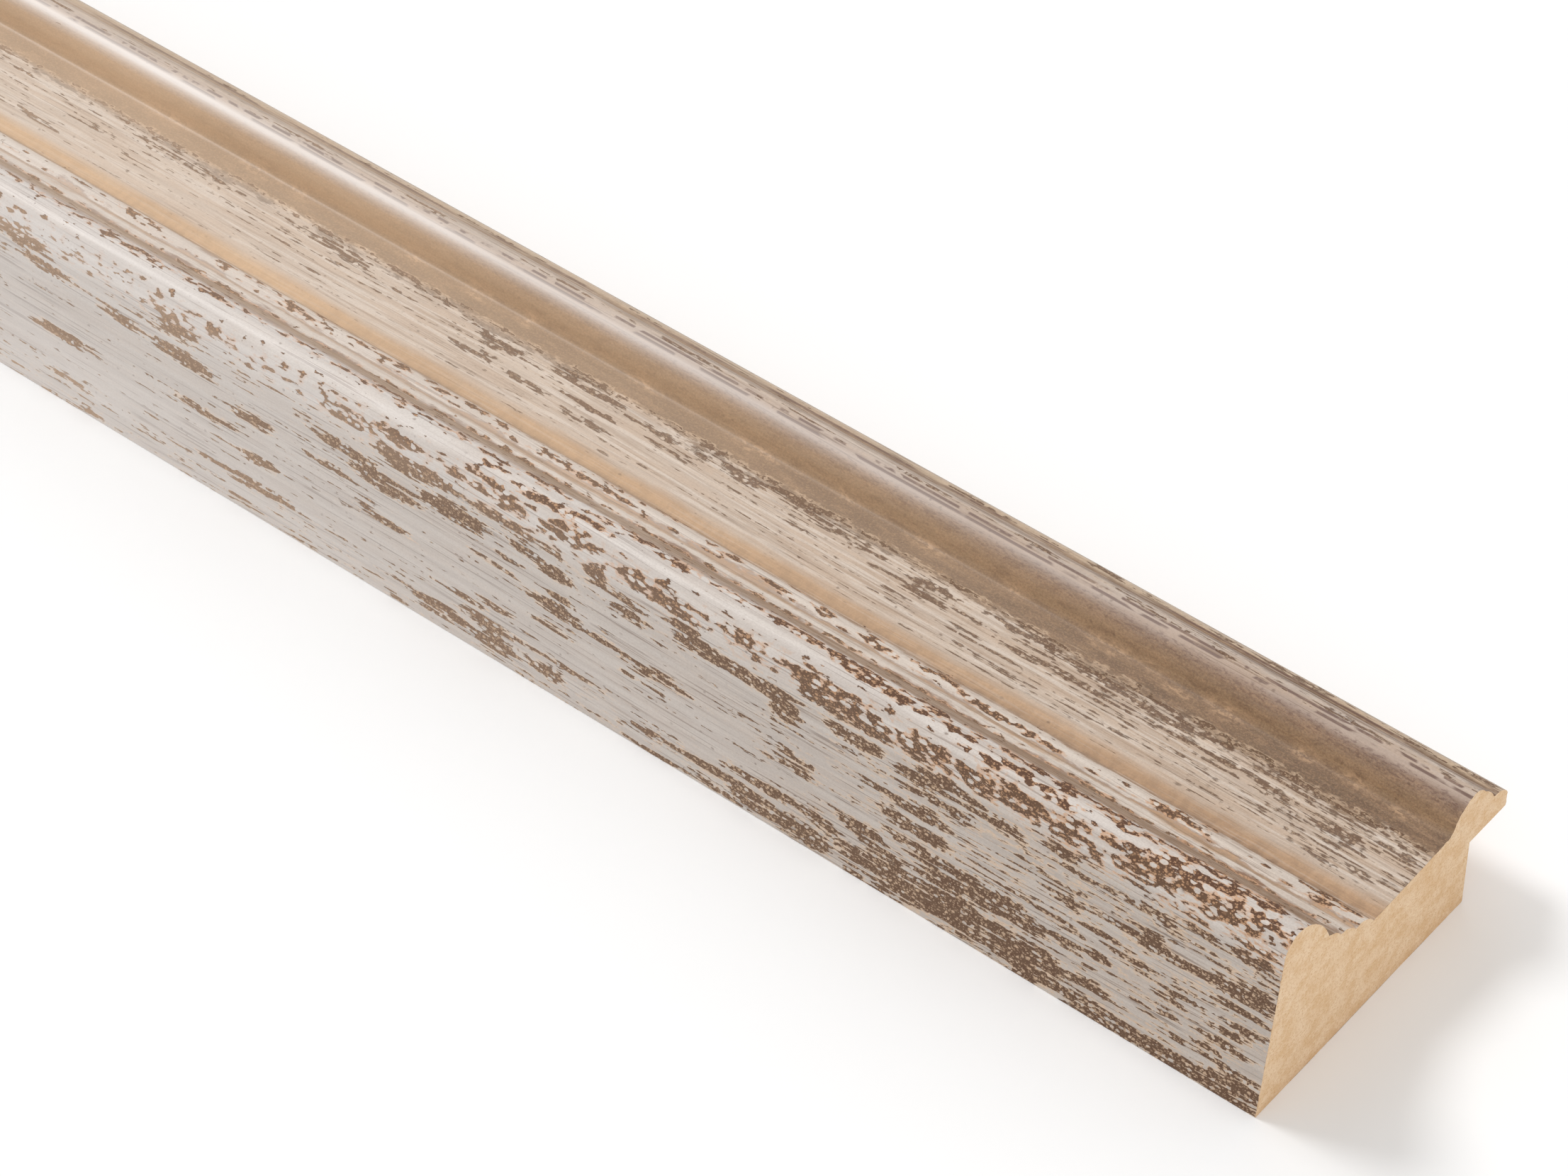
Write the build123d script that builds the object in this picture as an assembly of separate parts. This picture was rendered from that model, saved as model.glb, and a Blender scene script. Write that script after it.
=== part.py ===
from build123d import *
import os
from math import cos, radians, sin, tan

# A straight stick of picture frame moulding, run from one piece of fibreboard.
# X runs along the stick, the tall outer face looks to -Y and the lip that
# covers the picture's edge looks to +Y. The flat back lies on Z = 0.
# The origin is under the middle of the stick. Millimetres and degrees.

stick_length = 914.4

# Rebate under the lip, which takes the glass, the picture and the backing
rebate_width = 7.1
rebate_depth = 9.7

# Lip, from its upright front edge up to the top of the sight bead
lip_edge = 2.1
lip_edge_bevel = 0.2
nose_width = 2.9
nose_rise = 1.6
nose_bulge = 0.5
small_bead_width = 2.0
small_bead_rise = 2.55
small_bead_bulge = 0.27
sight_bead_front_width = 2.1
sight_bead_front_rise = 1.5
sight_bead_front_bulge = 0.33

# Sight bead's long flank, which falls to the flat panel
sight_bead_flank_width = 4.1
sight_bead_flank_rise = 3.35
sight_bead_flank_bulge = 0.8

# Flat panel, which falls a little towards the outside
panel_width = 14.7
panel_fall = 0.5

# Three reeds that climb from the panel to the crown. The lowest is the widest
# and the roundest, and each one's width is reed_taper times the last one's.
reed_count = 3
lowest_reed_width = 3.55
lowest_reed_bulge = 0.7
reed_taper = 0.81
reed_rise = 1.8

# Crown, a tall bead whose inner flank is steeper and flatter than its top
crown_width = 6.1
crown_rise = 6.0
crown_radius = 4.0
crown_turn = 36.0

# Outer face, which leans in from the back, and the round above it
outer_face_lean = 7.5
shoulder_radius = 2.3


def reed_notches(panel_edge):
    """The notches on both sides of each reed, from the panel's edge up to the crown."""
    notches = [panel_edge]
    for reed in range(reed_count):
        width = lowest_reed_width * reed_taper**reed
        notches.append(notches[-1] + Vector(-width, reed_rise))
    return notches


def moulding_section():
    """The stick's section, in Y and Z, with its flat back on Z = 0."""
    # The face is laid out from the front of the lip, at 0, out to the crown
    lip_top = Vector(0, rebate_depth + lip_edge)
    nose_start = lip_top + Vector(-nose_width, nose_rise)
    bead_start = nose_start + Vector(-small_bead_width, small_bead_rise)
    bead_crest = bead_start + Vector(-sight_bead_front_width, sight_bead_front_rise)
    bead_foot = bead_crest - Vector(sight_bead_flank_width, sight_bead_flank_rise)
    notches = reed_notches(bead_foot + Vector(-panel_width, -panel_fall))
    crown_top = notches[-1] + Vector(-crown_width, crown_rise)

    # The shoulder is an arc that meets both the crown's top and the leaning face
    lean = radians(outer_face_lean)
    shoulder_foot = crown_top + shoulder_radius * Vector(-cos(lean), sin(lean) - 1)
    outer_corner = shoulder_foot + shoulder_foot.Y * Vector(-tan(lean), -1)
    rebate_root = Vector(-rebate_width, rebate_depth)

    with BuildSketch(Plane.YZ) as section:
        with BuildLine():
            Line(outer_corner, shoulder_foot)
            shoulder = JernArc(
                shoulder_foot, (sin(lean), cos(lean)), shoulder_radius, outer_face_lean - 90
            )
            crown = JernArc(shoulder @ 1, (1, 0), crown_radius, -crown_turn)
            TangentArc(crown @ 1, notches[-1], tangent=crown % 1)
            for reed in range(reed_count):
                bulge = lowest_reed_bulge * reed_taper ** (2 * reed)
                SagittaArc(notches[reed + 1], notches[reed], bulge)
            Line(notches[0], bead_foot)
            SagittaArc(bead_foot, bead_crest, sight_bead_flank_bulge)
            SagittaArc(bead_crest, bead_start, sight_bead_front_bulge)
            SagittaArc(bead_start, nose_start, small_bead_bulge)
            SagittaArc(nose_start, lip_top, nose_bulge)
            Polyline(
                lip_top,
                (0, rebate_depth + lip_edge_bevel),
                (-lip_edge_bevel, rebate_depth),
                rebate_root,
                (rebate_root.X, 0),
                outer_corner,
            )
        make_face()
    return Pos(0, -outer_corner.X / 2, 0) * section.sketch


def moulding():
    """One piece, as long as the stick, with square sawn ends."""
    stick = extrude(moulding_section(), stick_length / 2, dir=(1, 0, 0), both=True)
    stick.label = "moulding"
    return stick


os.makedirs("parts", exist_ok=True)
export_step(moulding(), "parts/moulding.step")
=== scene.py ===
from math import asin, ceil, cos, radians, sin

import bpy
import numpy as np
from mathutils import Matrix, Vector


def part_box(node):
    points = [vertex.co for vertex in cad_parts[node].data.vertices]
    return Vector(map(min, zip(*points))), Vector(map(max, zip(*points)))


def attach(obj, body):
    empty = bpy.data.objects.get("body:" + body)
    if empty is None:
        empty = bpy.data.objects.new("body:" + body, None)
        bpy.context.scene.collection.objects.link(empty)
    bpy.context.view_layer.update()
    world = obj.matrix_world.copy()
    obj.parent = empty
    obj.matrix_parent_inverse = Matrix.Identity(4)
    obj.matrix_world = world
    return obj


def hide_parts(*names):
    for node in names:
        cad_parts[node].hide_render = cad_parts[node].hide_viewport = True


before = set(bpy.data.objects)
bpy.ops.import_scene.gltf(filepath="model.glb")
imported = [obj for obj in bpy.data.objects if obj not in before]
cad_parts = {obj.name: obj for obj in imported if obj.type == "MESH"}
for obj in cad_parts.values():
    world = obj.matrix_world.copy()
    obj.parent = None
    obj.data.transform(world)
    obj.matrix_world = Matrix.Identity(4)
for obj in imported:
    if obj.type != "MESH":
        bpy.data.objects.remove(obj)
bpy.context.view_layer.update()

# The stick. One length of fibreboard, run to its section by cutters on a moulding
# machine and sawn square at both ends. Its members follow one another from the
# bottom of the outer face, over the crown and down to the lip.

mm = 0.001

# Each member's name, its width and rise from edge to edge, and how far it stands
# out from the straight line between its edges, in millimetres
members = [
    ("outer face", 3.03, 23.0, 0),
    ("shoulder", 2.28, 2.0, 0.571),
    ("crown top", 2.351, -0.764, 0.196),
    ("crown flank", 3.749, -5.236, 0.52),
    ("top reed", 2.329, -1.8, 0.301),
    ("middle reed", 2.876, -1.8, 0.459),
    ("low reed", 3.55, -1.8, 0.7),
    ("panel", 14.7, 0.5, 0),
    ("sight bead flank", 4.1, 3.35, 0.8),
    ("sight bead front", 2.1, -1.5, 0.33),
    ("small bead", 2.0, -2.55, 0.27),
    ("nose", 2.9, -1.6, 0.5),
    ("lip front", 0, -1.9, 0),
]
lip_bevel = 0.2
rebate_width = 7.1
rebate_depth = 9.7

# How far apart points stand round the section, and how close the first is to an edge
face_step = 0.5
bare_step = 4.0
edge_step = 0.12

# How far apart rings of points stand up to near_length from the near end, and beyond
near_ring_step = 0.8
far_ring_step = 3.0
near_length = 150


def arc_point(start, end, bulge, share):
    """The point that far, from 0 to 1, along an arc that stands out by bulge."""
    chord = end - start
    if bulge == 0:
        return start + share * chord
    radius = chord.length_squared / 8 / bulge + bulge / 2
    turn = (2 * share - 1) * asin(chord.length / 2 / radius)
    forward = chord.normalized()
    outward = Vector((-forward.y, forward.x))
    middle = (start + end) / 2 + (bulge - radius) * outward
    return middle + radius * (cos(turn) * outward + sin(turn) * forward)


def member_points(start, end, bulge, spacing):
    """Points along a member without its end, with one close to each of its edges."""
    edge = edge_step * mm / (end - start).length
    count = max(1, ceil((end - start).length / spacing / mm))
    between = [edge + (1 - 2 * edge) * number / count for number in range(count + 1)]
    return [arc_point(start, end, bulge, share) for share in [0] + between]


low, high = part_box("moulding")
width_fit = (high.y - low.y) / sum(width for _, width, _, _ in members)
outline = []
edge = Vector((low.y, low.z))
for name, width, rise, bulge in members:
    if name == "sight bead flank":
        bead_foot = len(outline)
    next_edge = edge + Vector((width * width_fit, rise * mm))
    outline += member_points(edge, next_edge, bulge * mm, face_step)
    edge = next_edge
face_points = len(outline)

rebate_root = Vector((high.y - rebate_width * mm, low.z + rebate_depth * mm))
bare_edges = [
    edge,
    Vector((high.y - lip_bevel * mm, rebate_root.y)),
    rebate_root,
    Vector((rebate_root.x, low.z)),
    Vector((low.y, low.z)),
]
for edge, next_edge in zip(bare_edges, bare_edges[1:]):
    outline += member_points(edge, next_edge, 0, bare_step)


def softened(points):
    """Those points without the first and the last, each drawn towards its neighbours."""
    return [(back + 2 * point + ahead) / 4 for back, point, ahead in zip(points, points[1:], points[2:])]


# Cutters and finish leave every edge and hollow a little soft
outline = softened(outline[-1:] + outline + outline[:1])

# Glaze has gathered in the hollow at the sight bead's foot and fills it a little
fill_rounds = 4
first_filled = bead_foot - 3
last_filled = bead_foot + 3
for _ in range(fill_rounds):
    filled = softened(outline[first_filled - 1:last_filled + 2])
    outline[first_filled:last_filled + 1] = filled
steps = [(ahead - point).length / mm for point, ahead in zip(outline, outline[1:] + outline[:1])]
girth = np.concatenate([[0], np.cumsum(steps)])

# Rings of points from the near end to the far one. The saw has torn both ends' edges
# a little, by up to saw_tear.
random = np.random.default_rng(7)
saw_tear = 0.07
sharp_turn = 40
length = (high.x - low.x) / mm
far_rings = 2 * ceil((length / 2 - near_length) / far_ring_step)
distance = np.concatenate([
    np.arange(0, near_length, near_ring_step),
    np.linspace(near_length, length / 2, far_rings // 2, endpoint=False),
    np.linspace(length / 2, length, ceil(length / 2 / far_ring_step) + 1),
])
ring_count = len(distance)
middle_ring = np.searchsorted(distance, length / 2)
point_count = len(outline)
vertices = np.empty((ring_count, point_count, 3))
vertices[:, :, 0] = high.x - distance[:, None] * mm
vertices[:, :, 1] = [point.x for point in outline]
vertices[:, :, 2] = [point.y for point in outline]
tear = saw_tear * mm * random.random(point_count) ** 3
vertices[0, :, 0] -= tear
vertices[-1, :, 0] += tear

ring, number = np.meshgrid(range(ring_count - 1), range(point_count), indexing="ij")
beside = (number + 1) % point_count
side_corners = [
    (ring, number),
    (ring, beside),
    (ring + 1, beside),
    (ring + 1, number),
]
sides = np.stack([row * point_count + place for row, place in side_corners], axis=-1)
near_end = list(range(point_count))[::-1]
far_end = list(range((ring_count - 1) * point_count, ring_count * point_count))
mesh = bpy.data.meshes.new("moulding")
mesh.from_pydata(vertices.reshape(-1, 3), [], sides.reshape(-1, 4).tolist() + [near_end, far_end])
mesh.shade_smooth()
mesh.set_sharp_from_angle(angle=radians(sharp_turn))
stick = bpy.data.objects.new("picture_frame_moulding", mesh)
bpy.context.collection.objects.link(stick)

# Where each corner of a side lies in millimetres: along the stick from its near
# end, and over its section from the bottom of the outer face
corner_distance = np.stack([distance[row] for row, _ in side_corners], axis=-1)
corner_girth = np.stack([girth[number], girth[number + 1], girth[number + 1], girth[number]], axis=-1)
end_places = [vertices[0, ::-1, 1:] / mm, vertices[-1, :, 1:] / mm]

# The brush's lines run down a little towards the near end of the outer face, and
# wander elsewhere
drop_length = 45
drop = 1.6
drop_curve = 1.3
face_low, face_high = 17, 23
to_end = np.clip(1 - corner_distance / drop_length, 0, 1) ** drop_curve
on_outer_face = np.clip((face_high - corner_girth) / (face_high - face_low), 0, 1)
slow_wander = 0.3 * np.sin(corner_distance / 31)
quick_wander = 0.2 * np.sin(corner_distance / 13 + 2)
wander = slow_wander + quick_wander
brushed_girth = corner_girth + wander - drop * to_end * on_outer_face


def add_map(name, across, up, end_corners):
    """A UV map of the sides' corners, followed by those of the two ends."""
    corners = np.concatenate([np.stack([across, up], axis=-1).reshape(-1, 2), *end_corners])
    mesh.uv_layers.new(name=name).data.foreach_set("uv", corners.ravel())


add_map("run", corner_distance, corner_girth, end_places)
add_map("brush", corner_distance, brushed_girth, end_places)

# The sheet on which the finish is drawn flat: two half lengths of the face, one
# above the other, and below them a row with the bare sides and the two ends
sheet_margin = 0.004
strip_bottoms = (0.56, 0.12)
strip_height = 0.435
bare_bottom = 0.006
bare_width = 0.58
bare_height = 0.105
end_width = 0.19
face_girth = girth[face_points]
half = (ring >= middle_ring)[..., None]
on_face = (number < face_points)[..., None]
half_distance = corner_distance - half * length / 2
near_bottom, far_bottom = strip_bottoms
face_across = sheet_margin + half_distance / (length / 2) * (1 - 2 * sheet_margin)
face_up = np.where(half, far_bottom, near_bottom) + corner_girth / face_girth * strip_height
bare_across = sheet_margin + corner_distance / length * bare_width
bare_share = (corner_girth - face_girth) / (girth[-1] - face_girth)
bare_up = bare_bottom + bare_share * bare_height
end_scale = end_width / (high.y - low.y) * mm
end_sheets = []
for order, places in enumerate(end_places):
    left = bare_width + 3 * sheet_margin + order * (end_width + 2 * sheet_margin)
    corner = np.array([left - low.y / mm * end_scale, bare_bottom])
    end_sheets.append(corner + places * end_scale)
sheet_across = np.where(on_face, face_across, bare_across)
sheet_up = np.where(on_face, face_up, bare_up)
add_map("OFBake", sheet_across, sheet_up, end_sheets)

# The finish, in the order in which it was laid on: a brown ground that shows where
# the finish is worn, glazes of tan and bronze in the hollows, and a chalky pale
# paint dragged over it all with a dry brush. Its drops and ridges stand up a little.

# How worn the finish is round the section, from 0 to 1, anywhere along it
wear_round = [
    (0, 0.32), (4.5, 0.22), (7, 0.15), (11, 0.18), (16, 0.18), (18, 0.24), (21, 0.26), (24, 0.28),
    (25, 0.2), (26, 0.05), (27, 0.15), (28.2, 0.5), (28.9, 0.2), (29.4, 0.13), (38.2, 0.13), (38.7, 0.45),
    (39.3, 0.1), (40, 0), (42.2, 0), (42.6, 0.34), (43, 0.05), (44, 0.15), (45, 0), (47, 0.15), (49, 0.4),
    (51, 0.46), (53, 0.44), (54.3, 0.6), (55.2, 0.5), (56.3, 0.6), (57, 0.55), (57.7, 0.8), (58.5, 0.1),
    (59, 0), (63.5, 0), (64.3, 0.25), (65.1, 0.1), (66, 0.3), (66.8, 0.55), (67.6, 0.45), (68.2, 0.2),
    (72.6, 0.2), (73.6, 0.6), (74.3, 0.3), (76.2, 0.2), (76.9, 0.55), (77.8, 0.4),
]

# Patches worn through to the ground, each with the place of its middle along the
# stick and round its section, its half length and its half height, in millimetres
worn_patches = [
    # On the outer face and the crown, within 60 mm of the near end
    (41, 3.2, 19, 2.6), (30, 3, 5, 3.4), (22, 1.1, 9, 1.4), (22.5, 4.4, 2.6, 0.9), (51, 3.3, 6, 1.5),
    (10, 0.9, 12, 1.5), (3.5, 2.6, 5, 1.2), (5, 4.4, 5, 0.5), (10.5, 4.3, 1.2, 0.5), (60, 1.8, 3, 1.4),
    (54.5, 0.4, 1.6, 0.6), (48, 0.6, 3, 0.5), (60, 4.9, 3.5, 1.1), (51, 5.7, 5, 0.5), (54, 7.1, 4, 0.9),
    (38, 8.1, 10, 2), (43.5, 6.2, 5, 0.8), (48, 9.2, 4, 0.5), (26.5, 8.4, 3.5, 0.6), (22, 9, 2, 0.9),
    (5, 7.3, 5, 0.5), (12.5, 7.1, 2, 0.4), (7, 5.6, 2.5, 0.4), (12.5, 9, 3, 0.5), (4, 9.3, 3, 0.6),
    (32, 10.8, 4, 0.4), (27, 11, 3, 0.4), (18.5, 11.3, 4, 0.6), (11, 10.4, 3, 0.6), (4.5, 10.6, 3, 0.5),
    (47, 11.6, 6, 1.1), (37, 11.8, 3, 0.4), (22, 12.4, 3, 0.6), (4, 13, 4.5, 0.7), (27, 14.4, 4, 0.7),
    (48, 14, 8, 0.5), (46, 15, 3, 0.4), (18, 14.8, 6, 0.6), (9, 14.8, 12, 0.7), (3.5, 16.1, 5.5, 0.8),
    (16, 16, 3, 0.5), (50, 16.8, 4, 0.4), (43, 17, 4, 0.5), (56, 18.9, 5, 1.1), (47, 18.6, 5, 1),
    (43, 20, 5, 0.9), (36.5, 18.9, 4, 1), (28, 20, 3, 0.9), (25, 18.6, 4, 0.5), (16, 18.9, 4, 0.6),
    (4, 20.6, 3.5, 1.1), (10, 20.3, 2.5, 0.7), (12, 21.6, 3, 0.5), (3.5, 22.3, 3, 0.6), (18, 21.6, 2, 0.4),
    (58, 22.4, 8, 2.3), (47, 22.8, 4.5, 2), (40, 22.6, 4, 1.6), (34.5, 23.3, 5.5, 1.7), (27.5, 23.2, 4, 1.9),
    (19.5, 23.2, 3, 1.2), (21, 24.8, 4, 0.9), (15, 25, 4.5, 2), (8.5, 24.2, 3.5, 1.4), (4.5, 24.4, 1.5, 1),
    (1.5, 24.8, 2, 0.8), (12, 26.7, 6, 0.8), (5, 25.8, 4, 0.7), (40, 25.6, 3.5, 0.6), (31, 26, 4, 0.8),
    (36, 26.5, 2, 0.6), (22.3, 27, 2, 0.5), (55, 27, 7, 0.8), (44, 26.9, 3, 0.4), (59, 28, 5, 0.8),
    (49, 28.1, 4, 0.8), (37, 28.2, 4, 0.7), (31, 27.9, 3, 0.9), (25, 28.2, 4, 0.7), (12, 28.2, 5, 0.8),
    (5, 28, 3, 1),
    # The same, up to 130 mm from it
    (66, 1.9, 7, 1.6), (74, 3.1, 7, 0.9), (67, 5.1, 7, 0.7), (84, 0.5, 5, 0.5), (84, 3, 3, 0.6),
    (75, 0.7, 5, 0.4), (99, 2.8, 3, 0.8), (107, 2.4, 4, 1.3), (115, 2.8, 5, 1), (109, 4.7, 5, 0.9),
    (112, 6.5, 5, 0.5), (107, 7.8, 3, 0.5), (98, 5, 8, 0.4), (99, 9.4, 4, 0.5), (85, 9.4, 4, 0.4),
    (64, 10, 5, 0.4), (124, 10.6, 5, 0.6), (84, 11.5, 6, 0.9), (92, 11.9, 7, 0.5), (99, 12.5, 5, 0.9),
    (63, 11.6, 3, 0.6), (98, 14.3, 2, 0.7), (108, 13.8, 4, 0.4), (105, 15.6, 3, 0.4), (65.5, 17.2, 2.6, 1.6),
    (70, 18.3, 5, 0.6), (70, 19.4, 8, 0.5), (88, 17.7, 4, 0.7), (77, 19, 5, 1.3), (80, 21.3, 2.5, 1.9),
    (90, 19.3, 5, 0.6), (93, 21, 2, 1.3), (99, 17.4, 3, 1.1), (103, 18.4, 3, 0.9), (102, 20.3, 5, 0.7),
    (107, 20.6, 5, 0.9), (124, 16, 6, 1.5), (114, 17.8, 6, 1.6), (120, 20.5, 8, 1.5), (62, 23, 5, 1.8),
    (72, 23.3, 3.5, 1.2), (85, 22.9, 6, 1.7), (97, 23.6, 5, 1.1), (106, 23.4, 3, 1.1), (112, 23.2, 4, 0.6),
    (123, 23.5, 4, 1.1), (110, 24.9, 5, 0.5), (97, 24.9, 3, 0.5), (102, 25.8, 5, 0.6), (96, 26.4, 4, 0.4),
    (110, 26.6, 2, 0.5), (85, 27.8, 3, 0.8), (90, 28.4, 4, 0.7), (66, 27.9, 7, 0.8), (104, 28.6, 3, 0.6),
    (126, 29, 5, 0.6),
    # The same, beyond that
    (145, 4.5, 9, 0.7), (144, 8.4, 4, 0.8), (152, 11, 5, 0.7), (145, 14, 4, 1), (133, 13.8, 4, 0.5),
    (131, 17.6, 6, 0.8), (156, 17, 6, 1.2), (166, 17.5, 4, 0.8), (158, 21, 4, 2.2), (150, 23.4, 3, 0.8),
    (130, 22.5, 5, 1.3), (176, 9.8, 6, 0.8), (176, 3.8, 3, 0.8), (178, 18.7, 5, 0.9), (183, 21, 5, 1.5),
    (168, 27.6, 7, 0.6), (154, 27.8, 4, 0.6),
    # On the reeds
    (19, 38.4, 7, 0.5), (31, 38.6, 3, 0.5), (43, 38.3, 4, 0.4), (58, 38.4, 5, 0.5), (76, 38.5, 5, 0.4),
    (92, 38.4, 4, 0.5), (112, 38.5, 5, 0.4), (134, 38.4, 6, 0.5), (160, 38.4, 5, 0.4),
    (46, 42.9, 8, 0.6), (24, 43.2, 4, 0.7), (23, 44.2, 3, 0.4), (5, 42.9, 2, 0.5), (4, 44, 4, 0.5),
    (57, 43.7, 4, 0.5), (65, 43, 3, 0.6), (66, 44.2, 2, 0.5), (98, 42.6, 1.5, 0.4), (105, 42.8, 5, 0.5),
    (103, 44.1, 5, 0.4), (125, 44, 3, 0.5), (142, 43.7, 4, 0.5), (158, 44, 5, 0.4), (179, 43.7, 4, 0.8),
    (165, 43.7, 2.5, 0.6), (137, 43.8, 2.5, 0.6), (130, 43.6, 2, 0.6), (121, 43.8, 2, 0.5),
    (87, 43.7, 3, 0.6), (73, 43.6, 2, 0.6), (112, 43.5, 3, 0.6), (152, 43.4, 2, 0.5), (80, 43, 3, 0.5),
    (150, 42.8, 5, 0.5), (56.5, 45.5, 2.5, 0.9), (44, 45.4, 0.8, 0.8), (20.5, 45.3, 1.6, 0.9),
    (13.5, 45.4, 0.9, 0.9), (5, 45, 1.8, 0.8), (78, 45.4, 2, 0.8), (96, 45.3, 3, 0.8), (120, 45.4, 1.5, 0.8),
    (150, 45.3, 3, 0.8),
    # On the panel
    (57, 52.2, 6, 0.5), (57, 50.6, 4, 0.4), (9, 52.5, 5, 0.6), (6, 51, 4, 0.4), (17.5, 52.6, 2, 0.4),
    (6, 49.3, 4, 0.4), (9, 49.8, 3, 0.4), (12, 50.9, 5, 0.5), (14, 53, 4, 0.7), (9, 53.4, 5, 0.6),
    (47, 54.2, 10, 0.5), (60, 54.5, 4, 0.3), (27, 54.9, 7, 0.3), (19, 54.3, 4, 0.5), (9, 54.3, 6, 0.5),
    (52, 56.3, 7, 0.9), (42, 56.3, 8, 0.6), (34, 55.8, 7, 0.6), (14, 55.9, 10, 0.3), (17, 57, 5, 0.7),
    (10.5, 56.6, 3, 0.8), (30, 56.7, 6, 0.6), (84, 56, 6, 0.8), (88, 57.2, 5, 0.7), (95, 56, 5, 0.8),
    (100, 55.7, 2, 0.8), (77, 56, 5, 0.6), (66, 55.8, 5, 0.6), (67, 54.3, 7, 0.4), (69, 52.5, 3, 0.4),
    (84, 51.6, 5, 0.5), (107, 55.6, 7, 0.6), (118, 56.4, 7, 1.1), (105, 54, 4, 0.5), (116, 54, 5, 0.6),
    (115, 52, 5, 0.7), (124, 52.5, 5, 0.7), (131, 55.6, 5, 0.9), (133, 52.8, 4, 0.7), (156, 55.8, 6, 0.8),
    (180, 56, 6, 0.7), (202, 50.6, 3, 0.6),
    # On the sight bead's crest and the nose
    (18, 66.9, 6, 0.5), (33, 66.3, 2, 0.3), (46, 67.2, 3, 0.4), (60, 67, 4, 0.5), (76, 67.2, 5, 0.5),
    (92, 66.9, 4, 0.4), (110, 67.1, 6, 0.5), (128, 67, 4, 0.5), (151, 67.2, 6, 0.5), (171, 67, 5, 0.5),
    (12, 73.8, 4, 0.6), (27, 74, 7, 0.6), (38, 73.8, 3, 0.5), (53, 74, 5, 0.4), (71, 73.9, 6, 0.4),
    (3, 74, 4, 0.6), (45, 73.9, 4, 0.4),
]

# Farther along they are strewn by chance in the same rows, each with its place round
# the section and its half height
patch_rows = [
    (2.5, 1.4), (4.5, 0.7), (8.5, 1.0), (11.5, 0.6), (14, 0.6), (18, 1.2), (20, 1.2), (23, 1.4),
    (25.6, 0.5), (28, 0.7), (38.4, 0.5), (43, 0.6), (45.4, 0.6), (51, 0.5), (54.3, 0.6), (56.3, 0.8),
    (67, 0.5), (73.9, 0.4),
]
strewn_from = 190
strewn_count = 300
for _ in range(strewn_count):
    row_girth, row_height = patch_rows[random.integers(len(patch_rows))]
    worn_patches.append((
        random.uniform(strewn_from, length),
        row_girth + random.uniform(-0.8, 0.8) * row_height,
        random.uniform(3, 8),
        row_height * random.uniform(0.6, 1.1),
    ))


def round_section(places):
    """A value for every point of the mesh that changes only round the section."""
    return np.tile(np.interp(girth[:-1], *zip(*places)), (ring_count, 1))


def add_value(name, values):
    """Keeps a value at each point of the mesh, for the finish to read."""
    mesh.attributes.new(name, "FLOAT", "POINT").data.foreach_set("value", values.ravel())


def patches(places, sharpness):
    """1 in the middle of each of those places, at_border where it ends, and 0 away from them."""
    at_border = 0.4
    covered = np.zeros((ring_count, point_count))
    for patch_distance, patch_girth, half_length, half_height in places:
        beside_middle = (distance[:, None] - patch_distance) / half_length
        over_middle = (girth[None, :-1] - patch_girth) / half_height
        patch = sharpness * (1 - np.hypot(beside_middle, over_middle)) + at_border
        covered = np.maximum(covered, np.clip(patch, 0, 1))
    return covered


# How far a patch is worn, round the section
patch_wear = round_section([
    (0, 1), (20, 1), (22, 0.78), (46, 0.8), (49, 0.88), (53, 0.88), (55, 0.95), (78, 0.95),
])

# The near end has been handled most and is worn more
end_wear = np.interp(distance, (0, 45, 75), (1, 0.9, 0))[:, None] * round_section([
    (0, 0.08), (5, 0.12), (8, 0.17), (19, 0.17), (22, 0.05), (28, 0.05), (29, 0), (48.5, 0), (49.5, 0.14),
    (57, 0.14), (57.5, 0), (65, 0), (65.5, 0.12), (68, 0.12), (69, 0), (73, 0), (73.5, 0.12), (78, 0.12),
])
overall_wear = round_section(wear_round) + end_wear
add_value("wear", np.maximum(overall_wear, patch_wear * patches(worn_patches, 2)))

# How thickly a pale veil lies on the finish, along the stick and round it. It is partly a thin
# pale wash, which thickens and thins at random along the far part, and partly painted light:
# its rise from the near end towards the far part is a painted sheen.
wash_and_sheen_along = [
    (0, 0), (30, 0.06), (90, 0.4), (160, 0.8), (230, 1), (340, 0.9), (470, 0.6), (620, 0.9),
    (780, 0.6), (length, 0.4),
]
# Round the section, the band from 64.8 to 65.5 mm is a painted highlight on the sight bead's crest, and the
# extra from 0 to 7 mm and from 61 to 64 mm is painted light that evens out the shade at the foot of the outer
# face and on the sight bead's flank
wash_and_sheen_round = [
    (0, 2), (7, 1.5), (15, 1.25), (19, 1.5), (23, 1.8), (26, 1), (46, 1.2), (46.6, 1.6), (47.6, 1.6),
    (48.4, 1.2), (57, 1.1), (57.6, 1.5), (61, 1.5), (61.5, 2), (64, 2), (64.8, 2.8), (65.5, 2.8),
    (65.9, 0.8), (68, 1.6), (72.8, 1.6), (73.4, 0.8), (78, 0.8),
]
add_value("veiled", np.interp(distance, *zip(*wash_and_sheen_along))[:, None] * round_section(wash_and_sheen_round))

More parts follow.
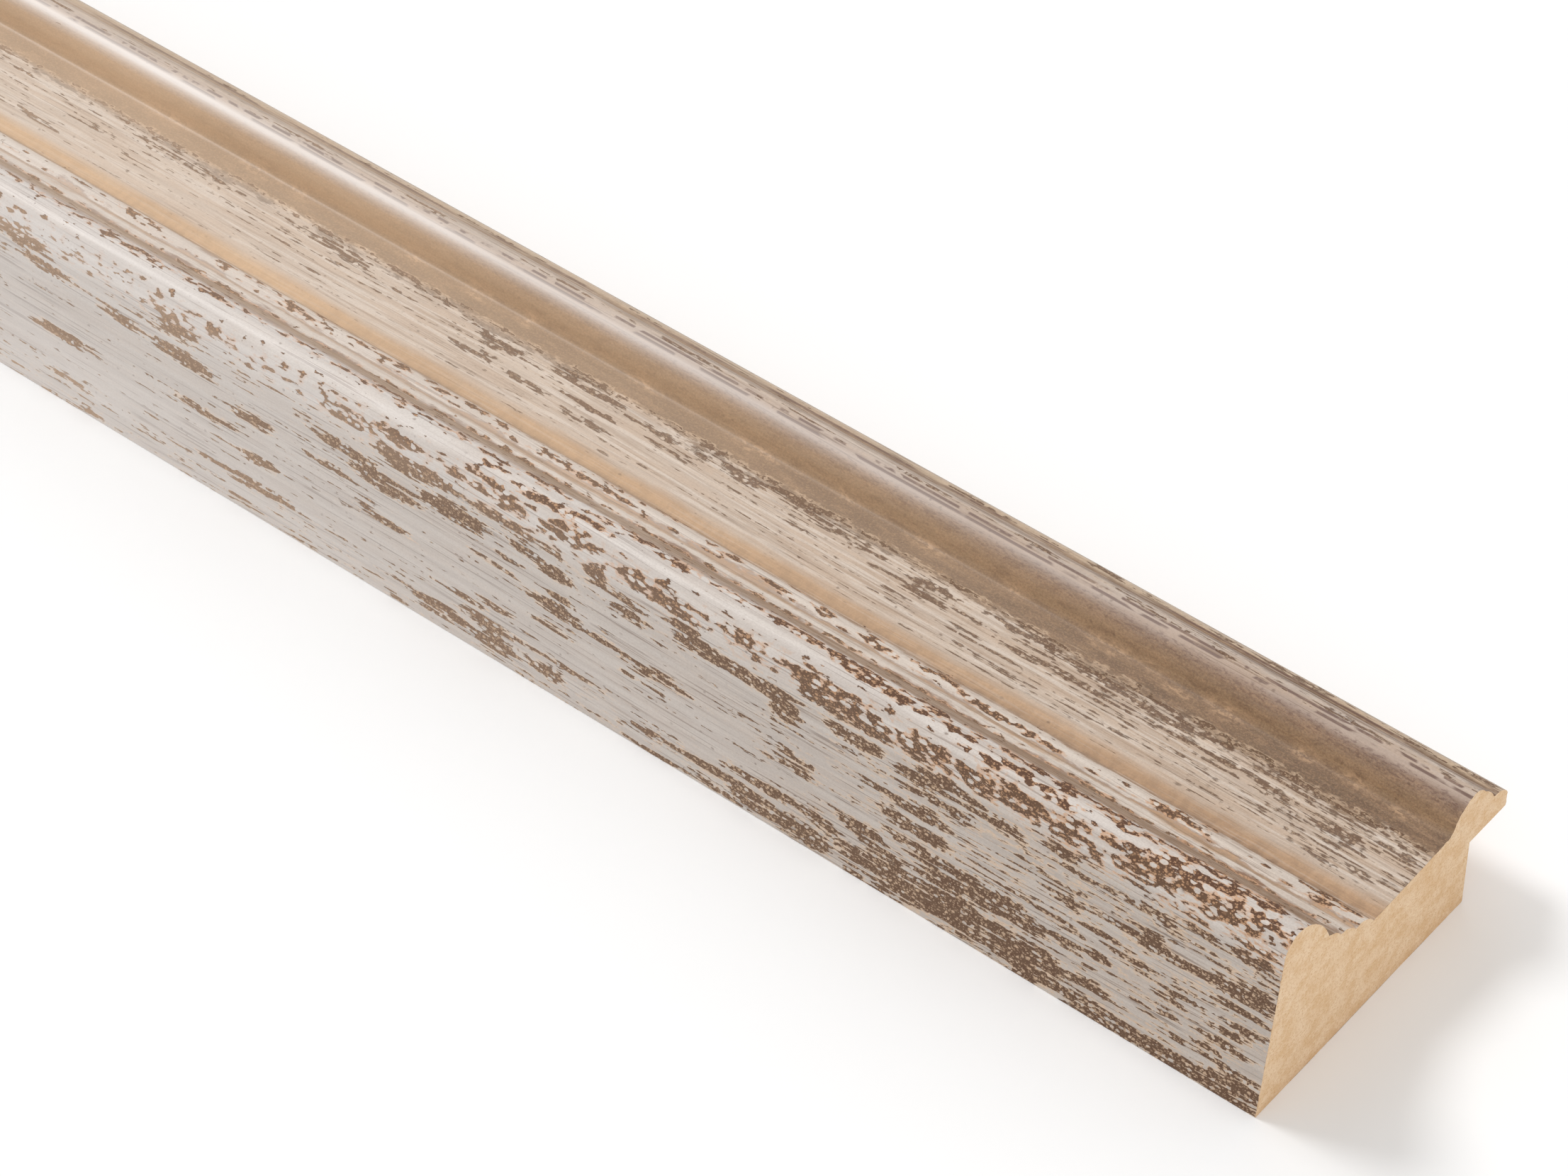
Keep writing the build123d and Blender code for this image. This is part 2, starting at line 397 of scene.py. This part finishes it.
# Lighter smudges of glaze where the panel meets the sight bead, with pale spots in them that
# are painted highlights of small pimples, placed one by one up to smudged_from and strewn beyond
smudge_and_glint_places = [
    (6, 60.3, 2, 0.6), (12.7, 60.9, 2.2, 0.8), (19.1, 60.8, 2, 0.9), (29.7, 60.7, 2.6, 1.1),
    (36, 59.8, 3, 0.5), (40, 60.9, 1.4, 0.6), (45.5, 60.6, 3.4, 1), (59, 60.7, 2, 0.8),
    (71, 60.5, 3, 0.7), (83, 60.9, 2, 0.8), (96, 60.4, 4, 0.8), (113, 60.8, 2.5, 0.9),
]
smudged_from = 120
smudge_count = 70
for _ in range(smudge_count):
    smudge_and_glint_places.append((
        random.uniform(smudged_from, length),
        random.uniform(60.2, 61),
        random.uniform(1.2, 4),
        random.uniform(0.5, 1.1),
    ))
add_value("smudged", patches(smudge_and_glint_places, 1))

# Where the finish has a sheen. The wash left the bead's front dull.
glossy_round = [(0, 1), (66.3, 1), (67.5, 0), (73, 0), (73.4, 0.6), (78, 0.6)]
add_value("glossy", round_section(glossy_round))

# How far the borders of the finish's bands sway, in millimetres
sway_round = [
    (0, 0.3), (27, 0.4), (29, 1.1), (31, 0.3), (37, 0.6), (39, 1.5), (41, 0.9), (43, 1.8), (45, 1.2),
    (46.5, 0.2), (48, 0.8), (54, 0.6), (57.4, 2.4), (60, 0.6), (60.9, 0), (62, 0.4), (63, 0.5),
    (66, 0.3), (67.5, 0.9), (70, 0.3),
]
add_value("sway", round_section(sway_round))

# Where the worn places are drawn out into dashes, where the brush left its fine
# lines, and where the finish is mottled because the brush only touched it
dragged_round = [(0, 0), (46, 0), (48, 0.75), (57, 0.6), (57.6, 0.3), (63, 0.3), (65, 0.6), (78, 0.6)]
add_value("dragged", round_section(dragged_round))
lined_round = [
    (0, 1), (21, 1), (24, 0.7), (29, 0.7), (44, 0.7), (46.4, 0.3), (48.4, 0.3), (49, 0.7), (53.5, 0.7),
    (54.5, 1), (57, 1), (57.6, 0.15), (64, 0.15), (65, 1), (78, 1),
]
add_value("lined", round_section(lined_round))
mottled_round = [
    (0, 0.05), (28, 0.1), (29.5, 1), (38, 1), (39, 0.2), (40, 0.2), (40.5, 1), (41.8, 1), (42.2, 0.1),
    (44.4, 0.1), (44.9, 1), (46.4, 1), (46.8, 0.55), (48, 0.5), (48.4, 0.1), (67, 0.1), (68, 1), (73, 1),
    (73.2, 0.3), (78, 0.5),
]
add_value("mottled", round_section(mottled_round))


class Signal:
    """A socket in a material. Arithmetic on it adds Math nodes."""

    def __init__(self, socket):
        self.socket = socket

    def node(self, kind, settings, inputs, output=0):
        """A new node in the same material, as the signal of one of its outputs."""
        tree = self.socket.id_data
        made = tree.nodes.new(kind)
        for name, value in settings.items():
            if name == "stops":
                stops = made.color_ramp.elements
                for place, colour in value[2:]:
                    stops.new(place)
                for stop, (place, colour) in zip(stops, value):
                    stop.position = place
                    stop.color = colour
            else:
                setattr(made, name, value)
        for name, value in inputs.items():
            if isinstance(value, Signal):
                tree.links.new(value.socket, made.inputs[name])
            else:
                made.inputs[name].default_value = value
        return Signal(made.outputs[output])

    def maths(self, operation, first, second=0):
        """A Math node's result."""
        return self.node("ShaderNodeMath", {"operation": operation}, {0: first, 1: second})

    def __add__(self, other):
        return self.maths("ADD", self, other)

    __radd__ = __add__

    def __sub__(self, other):
        return self.maths("SUBTRACT", self, other)

    def __rsub__(self, other):
        return self.maths("SUBTRACT", other, self)

    def __mul__(self, other):
        return self.maths("MULTIPLY", self, other)

    __rmul__ = __mul__

    def __abs__(self):
        return self.maths("ABSOLUTE", self)


def tone(red, green, blue):
    """A colour as seen on a screen, from 0 to 255, in the renderer's own units."""
    shares = (red / 255, green / 255, blue / 255)
    linear = [share / 12.92 if share <= 0.04045 else ((share + 0.055) / 1.055) ** 2.4 for share in shares]
    return (*linear, 1)


def step(value, start, end):
    """0 up to start, 1 from end on, and smooth between."""
    return value.node(
        "ShaderNodeMapRange",
        {"interpolation_type": "SMOOTHSTEP"},
        {"Value": value, "From Min": start, "From Max": end},
    )


def mix(share, under, over):
    """The colour under where share is 0, and over where it is 1."""
    return share.node("ShaderNodeMix", {"data_type": "RGBA"}, {0: share, 6: under, 7: over}, output=2)


def stretch(place, along, across, seed):
    """Places divided by a pattern's size in millimetres, and moved so that no two look alike."""
    return place.node(
        "ShaderNodeVectorMath",
        {"operation": "MULTIPLY_ADD"},
        {0: place, 1: (1 / along, 1 / across, 1), 2: (17.3 * seed, 9.1 * seed, 0)},
    )


def streaks(place, along, across, seed, detail=3, roughness=0.5, output=0):
    """Cloudy noise from 0 to 1, drawn out to that size in millimetres."""
    return place.node(
        "ShaderNodeTexNoise",
        {"noise_dimensions": "2D"},
        {"Vector": stretch(place, along, across, seed), "Scale": 1, "Detail": detail, "Roughness": roughness},
        output,
    )


def drops(place, along, across, seed):
    """Round drops of that spacing: how far it is to the nearest one, and that one's random colour."""
    near = place.node(
        "ShaderNodeTexVoronoi",
        {"voronoi_dimensions": "2D"},
        {"Vector": stretch(place, along, across, seed), "Scale": 1},
        "Distance",
    )
    return near, Signal(near.socket.node.outputs["Color"])


def feed(surface, signals):
    """Links each of those signals to the surface's socket of its name."""
    for name, signal in signals.items():
        surface.id_data.links.new(signal.socket, surface.inputs[name])


finish = bpy.data.materials.new("distressed_finish")
finish.use_nodes = True
surface = finish.node_tree.nodes["Principled BSDF"]
shader = Signal(surface.outputs[0])
place = shader.node("ShaderNodeUVMap", {"uv_map": "run"}, {})
brushed = shader.node("ShaderNodeUVMap", {"uv_map": "brush"}, {})
height = place.node("ShaderNodeSeparateXYZ", {}, {0: place}, "Y")

cool_white_painted_shade = tone(205, 194, 184)
chalk = tone(232, 219, 206)
crown_chalk = tone(223, 213, 204)
ivory = tone(216, 200, 186)
cream = tone(208, 184, 156)
warm_cream = tone(222, 192, 162)
peach = tone(212, 166, 128)
linen = tone(213, 193, 174)
sand = tone(200, 163, 128)
golden = tone(192, 154, 118)
deep_bronze = tone(126, 100, 75)
flank_bronze_painted_light = tone(160, 131, 101)
crease_tan_painted_light = tone(174, 144, 112)
brown_grey = tone(138, 113, 90)
dusk_brown = tone(112, 88, 65)
taupe = tone(158, 128, 101)
warm_taupe = tone(168, 138, 113)
grey_taupe = tone(134, 109, 89)
grey_brown = tone(156, 139, 119)
rose_white = tone(190, 167, 150)
rose_taupe = tone(154, 128, 112)
rose_shadow = tone(100, 68, 56)
rust = tone(140, 100, 72)
ground_brown = tone(112, 86, 67)
dark_brown = tone(99, 69, 51)


def bands(value, stops):
    """Colours over the section, each from its place in millimetres on."""
    scaled = [(start / face_girth, colour) for start, colour in stops]
    return value.node("ShaderNodeValToRGB", {"stops": scaled}, {0: value * (1 / face_girth)}, "Color")


def kept(name):
    """A value that the mesh keeps at its points."""
    return shader.node("ShaderNodeAttribute", {"attribute_name": name}, {}, "Fac")


swaying = streaks(place, 11, 3, 1, detail=2) - 0.5
swaying = swaying + 0.5 * (streaks(place, 2.2, 0.6, 11, detail=3, roughness=0.6) - 0.5)
swayed = height + 2 * kept("sway") * swaying
# The outer face's paint is a darker, cooler copy of the chalk on the crown: painted shade on the face that
# looks sideways
paint = bands(swayed, [
    (20, cool_white_painted_shade), (22.5, crown_chalk), (28.4, crown_chalk), (28.9, taupe), (36, brown_grey),
    (38.5, rust), (39, chalk), (39.9, chalk), (40.5, sand), (41.9, sand), (42.1, rust), (42.3, chalk),
    (44.4, chalk), (44.9, warm_taupe), (46.2, warm_taupe), (46.6, golden), (47.8, sand), (49.2, linen),
    # From the crease up the sight bead's flank the glaze is painted lighter than below it: painted light that
    # evens out the shade in the crease and on the flank
    (56.8, linen), (57.1, dusk_brown), (58.8, dusk_brown), (60.5, deep_bronze), (61.4, crease_tan_painted_light),
    (62.5, flank_bronze_painted_light), (64.4, rose_taupe), (65.3, rose_white), (67.3, ivory), (68.2, grey_taupe),
    (72.9, grey_taupe), (73.4, cream), (74.4, cream), (74.8, grey_brown),
])
ground = bands(swayed, [
    (0, ground_brown), (24.5, ground_brown), (26, dark_brown), (28.5, dark_brown), (38, brown_grey),
    (42.6, ground_brown), (57, ground_brown), (59, dusk_brown), (64, brown_grey), (65.6, ground_brown),
])

# The places of drops and lobes, shifted to and fro so that they don't stand in rows
wobble = streaks(brushed, 1.1, 0.8, 18, detail=2, output=1)
wobbled = brushed.node(
    "ShaderNodeVectorMath", {"operation": "MULTIPLY_ADD"}, {0: wobble, 1: (0.5, 0.3, 0), 2: brushed}
)

# The dragged paint: broad strokes, fine dark lines, and clouds of a warmer tone
dragged = kept("dragged")
strokes = step(streaks(brushed, 34, 0.9, 2, detail=5, roughness=0.6), 0.38, 0.62)
fine_lines = step(streaks(brushed, 24, 0.32, 3, detail=3), 0.59, 0.67)
fine_lines = fine_lines * step(streaks(brushed, 9, 2.5, 29, detail=2), 0.3, 0.55)
hair_lines = step(streaks(brushed, 9, 0.1, 9, detail=1), 0.5, 0.8)
clouds = step(streaks(brushed, 16, 1.8, 12, detail=4), 0.42, 0.62)
grain = step(streaks(place, 0.3, 0.22, 17, detail=3, roughness=0.7), 0.35, 0.75)
paint = mix(0.18 * (1 - strokes), paint, ground)
paint = mix(0.68 * kept("lined") * fine_lines, paint, ground)
paint = mix(0.1 * hair_lines, paint, ground)
paint = mix((0.08 + 0.22 * dragged) * clouds, paint, golden)

# Paler and darker strokes on the panel
on_panel = step(height, 48.2, 50) * (1 - step(swayed, 56.5, 57.1))
pale_strokes = step(streaks(brushed, 24, 0.8, 24, detail=4, roughness=0.6), 0.5, 0.6)
tan_strokes = step(streaks(brushed, 14, 0.4, 25, detail=4, roughness=0.6), 0.5, 0.62)
paint = mix(0.55 * on_panel * pale_strokes, paint, chalk)
paint = mix(0.4 * on_panel * tan_strokes, paint, taupe)

# Mottles and wisps where the brush only touched
mottles = step(streaks(place, 1.6, 2.4, 13, detail=4, roughness=0.65), 0.38, 0.64)
wisps = step(streaks(brushed, 16, 0.45, 28, detail=5, roughness=0.65), 0.52, 0.6)
paint = mix(0.4 * kept("mottled") * mottles, paint, ground)
paint = mix(0.4 * kept("mottled") * wisps, paint, ivory)

# The bronze glaze on the sight bead, smeared and grainy, with its smudges and the painted
# highlights of its pimples
on_bronze = step(swayed, 56.8, 57.4) * (1 - step(height, 63.8, 65))
pale_smears = step(streaks(place, 4, 1.2, 26, detail=6, roughness=0.72), 0.46, 0.66)
dark_smears = step(streaks(place, 3, 1, 27, detail=6, roughness=0.72), 0.46, 0.66)
pale_grain = step(streaks(place, 0.34, 0.24, 32, detail=3, roughness=0.7), 0.45, 0.7)
pimple_glints = step(streaks(place, 1.3, 0.6, 30, detail=4, roughness=0.65), 0.46, 0.62)
paint = mix(0.3 * on_bronze * pale_smears, paint, golden)
paint = mix(0.5 * on_bronze * dark_smears, paint, ground_brown)
paint = mix(0.4 * on_bronze * grain, paint, dark_brown)
paint = mix(0.35 * on_bronze * pale_grain, paint, golden)
# Sand glaze in the smudges, with pale spots that are painted highlights of small pimples
paint = mix(kept("smudged") * (0.1 + 0.75 * pimple_glints), paint, sand)

# Small dark pits
pit_place, pit_kind = drops(wobbled, 2.4, 1.8, 33)
pits = step(pit_kind, 0.62, 0.68) * (1 - step(pit_place, 0.03, 0.13))
pits = pits * step(streaks(place, 14, 5, 34), 0.5, 0.62)
paint = mix(0.7 * pits, paint, ground_brown)

# The glaze thins to dark speckles towards the crest
speckled = step(height, 62.8, 63.8) * (1 - step(height, 64.8, 65.3))
speckles = step(streaks(brushed, 0.9, 0.28, 31, detail=3, roughness=0.65), 0.5, 0.62)
paint = mix(0.5 * speckled * speckles, paint, rose_shadow)

# Thin dashes along the crest and where the beads meet, each line with its place round
# the section, the length of its dashes and its seed
dash_lines = [(65.65, 6, 14), (66.25, 3, 16), (73.2, 18, 15)]
for line, length_along, seed in dash_lines:
    on_line = 1 - step(abs(height - line), 0.11, 0.25)
    dashes = step(streaks(place, length_along, 3, seed, detail=2), 0.42, 0.5)
    paint = mix(0.85 * on_line * dashes, paint, rose_shadow)

# How readily the paint comes off: in ragged blots and long streaks, with lobes and
# islands of paint left standing. Blots and lobes are rounder on the crown.
past_face = step(height, 19.5, 22.5)
on_crown = past_face * (1 - step(height, 46, 48))
blots = streaks(brushed, 5, 0.55, 4, detail=5, roughness=0.55)
crown_blots = streaks(brushed, 2.2, 0.85, 22, detail=5, roughness=0.55)
blots = blots + past_face * (crown_blots - blots)
drags = streaks(brushed, 8, 0.36, 10, detail=4, roughness=0.6)
rags = blots + dragged * (drags - blots)
lobes, lobe_kind = drops(wobbled, 1.0, 0.68, 5)
crown_lobes, crown_lobe_kind = drops(wobbled, 1.4, 0.8, 5)
lobes = lobes + on_crown * (crown_lobes - lobes)
lobe_kind = mix(on_crown, lobe_kind, crown_lobe_kind)
islands = step(lobe_kind, 0.56, 0.66) * (1 - step(lobes, 0.15, 0.45))
lobing = (0.18 + 0.12 * on_crown) * lobes - (0.22 + 0.14 * on_crown) * islands
long_streaks = streaks(brushed, 15, 0.4, 6, detail=2) - 0.5
bareness = rags + lobing * (1 - 0.7 * dragged) + (0.6 - 0.3 * past_face) * long_streaks

# Where that passes a threshold, which wear brings down, the paint is gone
worn = kept("wear")
threshold = 1 - 0.12 * step(worn, 0, 0.14) - (0.48 - 0.06 * past_face) * worn
excess = bareness - threshold
through = step(excess * (1 - 0.8 * dragged), -0.015, 0.02)

# A warm rim where the paint is thin beside the worn places
rim = step(excess, -0.17, -0.04) * step(worn, 0.1, 0.4)
rim = rim * step(streaks(place, 4, 2, 20, detail=2), 0.28, 0.55)
rim_colour = mix(on_crown, warm_cream, peach)
colour = mix(0.9 * rim * (1 - 1.2 * dragged), paint, rim_colour)

# The ground in the worn places: shaded, with specks and drops of paint left in it
shade = step(streaks(wobbled, 1.1, 0.5, 8, detail=4, roughness=0.65), 0.38, 0.62)
bare_colour = mix(0.55 * shade, ground, dark_brown)
speck_place, speck_kind = drops(wobbled, 0.4, 0.3, 7)
specks = 1 - step(speck_place - 0.5 * speck_kind, -0.14, 0.08)
speck_tone = step(streaks(place, 0.9, 0.6, 21, detail=2), 0.38, 0.62)
speck_colour = mix(0.5 + 0.5 * speck_tone, sand, rim_colour)
speck_share = specks * (0.36 + 0.4 * speck_tone) * (1 - 0.6 * dragged)
bare_colour = mix(speck_share, bare_colour, speck_colour)
left_place, left_kind = drops(wobbled, 0.95, 0.7, 35)
left_drops = step(left_kind, 0.45, 0.6) * (1 - step(left_place - 0.1 * left_kind, 0.1, 0.22))
bare_colour = mix(0.7 * left_drops * (1 - 0.8 * dragged), bare_colour, rim_colour)
colour = mix(through * (1 - 0.2 * dragged), colour, bare_colour)
colour = mix(0.16 * grain, colour, ground)

# The pale veil, which takes a little of each band's tone: partly a thin wash, partly a painted
# sheen on the far part and a near-white painted highlight on the sight bead's crest
wash_sheen_white = tone(250, 244, 240)
wash_sheen_tan = tone(236, 214, 190)
wash_sheen_chalk = tone(246, 234, 224)
wash_sheen_golden = tone(252, 216, 174)
wash_sheen_sand = tone(250, 214, 172)
wash_sheen_linen = tone(240, 222, 204)
wash_sheen_bronze = tone(240, 206, 170)
highlight_rose = tone(252, 244, 238)
wash_sheen_grey = tone(230, 208, 186)
wash_sheen_on_ground = tone(202, 174, 150)
wash_and_sheen_tone = bands(height, [
    (0, wash_sheen_white), (29, wash_sheen_white), (30, wash_sheen_tan), (38, wash_sheen_tan), (39, wash_sheen_chalk),
    (44.4, wash_sheen_chalk), (45, wash_sheen_tan), (46.5, wash_sheen_golden), (48, wash_sheen_sand), (49, wash_sheen_linen),
    (57, wash_sheen_linen), (58, wash_sheen_bronze), (63.4, wash_sheen_bronze), (65, highlight_rose), (68, wash_sheen_grey),
])
wash_and_sheen_tone = mix(through, wash_and_sheen_tone, wash_sheen_on_ground)
wash_and_sheen_amount = kept("veiled") * (0.7 + 0.6 * streaks(place, 40, 6, 23))
# Mixed in, the veil lightens the far part as a painted sheen and the crest as a painted highlight
colour = mix((0.3 + through * (0.28 * wash_and_sheen_amount - 0.2)) * wash_and_sheen_amount, colour, wash_and_sheen_tone)

# The ground is dull, the paint has a slight sheen, and what is left of it stands up
relief = shader.node(
    "ShaderNodeBump",
    {},
    {"Strength": 0.7, "Distance": 0.12 * mm, "Height": rags * 0.6 + (1 - through)},
    "Normal",
)
surface.inputs["Specular IOR Level"].default_value = 0.2
surface.inputs["Coat Roughness"].default_value = 0.34
feed(surface, {
    "Base Color": colour,
    "Roughness": 0.5 + 0.1 * through,
    "Coat Weight": 0.5 * kept("glossy") * (1 - through),
    "Normal": relief,
})

# Bare board: the ends as the saw leaves them, and the back and the rebate. Pale
# tan wood fibre pressed with resin, mottled and flecked.

board = bpy.data.materials.new("bare_board")
board.use_nodes = True
surface = board.node_tree.nodes["Principled BSDF"]
shader = Signal(surface.outputs[0])
place = shader.node("ShaderNodeTexCoord", {}, {}, "Object")
run = shader.node("ShaderNodeUVMap", {"uv_map": "run"}, {})
run_girth = run.node("ShaderNodeSeparateXYZ", {}, {0: run}, "Y")


def fibres(along, through, seed, detail=4, roughness=0.6):
    """Noise from 0 to 1 in the board, flat in its plane, of that size in millimetres."""
    flattened = place.node(
        "ShaderNodeVectorMath",
        {"operation": "MULTIPLY_ADD"},
        {0: place, 1: (1 / along / mm, 1 / along / mm, 1 / through / mm), 2: (7.7 * seed, 0, 0)},
    )
    return place.node(
        "ShaderNodeTexNoise", {}, {"Vector": flattened, "Scale": 1, "Detail": detail, "Roughness": roughness}
    )


mottle = fibres(2.4, 2, 1)
flecks = fibres(0.34, 0.24, 2, roughness=0.7)
pale_flecks = fibres(0.55, 0.4, 3, roughness=0.7)
board_tan = tone(230, 193, 149)
board_cream = tone(242, 212, 176)
fleck_brown = tone(206, 156, 100)
fleck_cream = tone(248, 224, 190)
pressed_brown = tone(204, 158, 110)
colour = mix(step(mottle, 0.35, 0.65), board_tan, board_cream)
colour = mix(0.7 * step(flecks, 0.46, 0.7), colour, fleck_brown)
colour = mix(0.5 * step(pale_flecks, 0.52, 0.7), colour, fleck_cream)

# The board is pressed hardest, and so is darkest, near its back
above_back = place.node("ShaderNodeSeparateXYZ", {}, {0: place}, "Z")
low_down = 1 - step(above_back, 0.1 * mm, 1.6 * mm)
colour = mix(0.3 * low_down, colour, pressed_brown)

# Paint that has run round the lip and the back's outer edge
raggedness = 1.6 * (streaks(run, 3, 1, 1, detail=4, roughness=0.6) - 0.5)
ragged_girth = run_girth + raggedness
on_side = step(run_girth, face_girth - 20, face_girth - 19)
round_lip = on_side * (1 - step(ragged_girth, face_girth + 0.5, face_girth + 0.9))
round_back = step(ragged_girth, girth[-1] - 1.1, girth[-1] - 0.7)
colour = mix(0.9 * round_lip, colour, grey_taupe)
# Round the back's edge runs the outer face's paint, with its painted shade
colour = mix(0.9 * round_back, colour, cool_white_painted_shade)
relief = shader.node(
    "ShaderNodeBump", {}, {"Strength": 0.5, "Distance": 0.1 * mm, "Height": flecks}, "Normal"
)
surface.inputs["Roughness"].default_value = 0.85
feed(surface, {"Base Color": colour, "Normal": relief})

# The finish is on the face, and the board is bare everywhere else
mesh.materials.append(finish)
mesh.materials.append(board)
slots = np.ones(len(mesh.polygons), dtype=int)
slots[: number.size] = (number >= face_points).ravel()
mesh.polygons.foreach_set("material_index", slots)

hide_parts("moulding")
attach(stick, "root")

# The floor, a plain white sheet that keeps the stick's shadow

floor_reach = 3
floor_glow = 0.04
floor_mesh = bpy.data.meshes.new("floor")
floor_corners = [(x * floor_reach, y * floor_reach, 0) for x, y in ((-1, -1), (1, -1), (1, 1), (-1, 1))]
floor_mesh.from_pydata(floor_corners, [], [(0, 1, 2, 3)])
floor = bpy.data.objects.new("floor", floor_mesh)
bpy.context.collection.objects.link(floor)
white = bpy.data.materials.new("white_floor")
white.use_nodes = True
surface = white.node_tree.nodes["Principled BSDF"]
surface.inputs["Base Color"].default_value = tone(255, 255, 255)
surface.inputs["Roughness"].default_value = 0.9
surface.inputs["Emission Color"].default_value = (1, 1, 1, 1)
surface.inputs["Emission Strength"].default_value = floor_glow
floor_mesh.materials.append(white)

# Light: an even white sky, which the camera sees as plain white, two broad soft lights
# high beyond the stick, whose sheen lies on its far part, and one behind the camera

world = bpy.data.worlds.new("studio")
bpy.context.scene.world = world
world.use_nodes = True
sky = world.node_tree.nodes["Background"]
sky.inputs["Color"].default_value = (1, 1, 1, 1)
sky_light = 0.55
seen = Signal(sky.outputs[0]).node("ShaderNodeLightPath", {}, {}, "Is Camera Ray")
sky_strength = sky_light + (1 - sky_light) * seen
feed(sky, {"Strength": sky_strength})

# Each light's name, the way to it, how broad it looks in degrees, and its strength
soft_lights = [
    ("far_light", Vector((-0.63, 0.02, 0.78)), 19, 1.15),
    ("far_side_light", Vector((-0.66, 0.42, 0.62)), 40, 0.4),
    ("near_light", Vector((0.66, -0.5, 0.56)), 60, 0.45),
]
for name, way, spread, strength in soft_lights:
    light_data = bpy.data.lights.new(name, "SUN")
    light_data.angle = radians(spread)
    light_data.energy = strength
    light = bpy.data.objects.new(name, light_data)
    bpy.context.collection.objects.link(light)
    light.location = 2 * way
    light.rotation_euler = (-way).to_track_quat("-Z", "Y").to_euler()

# The camera, where the photograph was taken from, solved from the stick's edges. Its
# lens is given in pixels of a picture that is image_width of them wide.

sensor_width = 36
focal_pixels = 7390
image_width = 2212
camera_place = (0.64007, -0.32221, 0.43331)
camera_data = bpy.data.cameras.new("camera")
camera_data.sensor_width = sensor_width
camera_data.lens = focal_pixels / image_width * sensor_width
camera_data.clip_start = 0.05
camera = bpy.data.objects.new("camera", camera_data)
bpy.context.collection.objects.link(camera)
right = Vector((0.775786, 0.630964, -0.006340))
upward = Vector((-0.446360, 0.555857, 0.701275))
backward = right.cross(upward)
turned = Matrix((right, upward, backward)).transposed().to_4x4()
camera.matrix_world = Matrix.Translation(camera_place) @ turned
bpy.context.scene.camera = camera
bpy.context.scene.view_settings.view_transform = "Standard"
